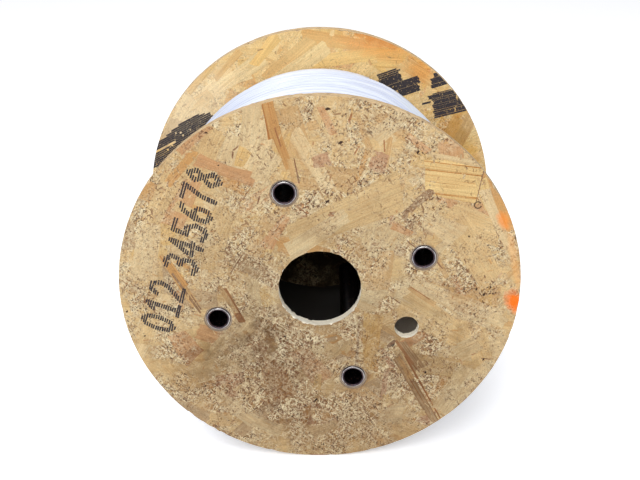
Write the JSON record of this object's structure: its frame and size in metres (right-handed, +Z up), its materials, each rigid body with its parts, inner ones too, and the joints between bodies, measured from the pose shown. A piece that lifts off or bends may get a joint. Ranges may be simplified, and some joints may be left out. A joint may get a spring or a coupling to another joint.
{
  "type": "wire spool",
  "caption": "Round reel of wood-strand board flanges on a paper barrel, tied by hollow steel tubes and wound with white cable.",
  "frame": {"origin": "on the floor, under the middle of the reel, which stands on the rims of its two flanges", "axes": "+Z up; +Y along the reel's axis from the front flange, which carries the printed count, to the rear one; +X to the right seen from the front"},
  "size_m": [0.3999, 0.26, 0.4],
  "materials": {
    "strand_board": "raw pressed strands, sawn edge",
    "paper_tube": "matt spiral-wound paper",
    "tube_steel": "bright zinc, rolled lips",
    "cable_sheath": "soft white sheath, satin",
    "staple_steel": "galvanised wire"
  },
  "bodies": {
    "root": {"front_flange": "strand_board", "rear_flange": "strand_board", "barrel": "paper_tube", "tie_tube_1": "tube_steel", "tie_tube_2": "tube_steel", "tie_tube_3": "tube_steel", "tie_tube_4": "tube_steel", "cable_inner_layers": "cable_sheath", "cable_inner_end": "cable_sheath", "cable_outer_layer": "cable_sheath", "end_staple": "staple_steel"}
  },
  "joints": []
}
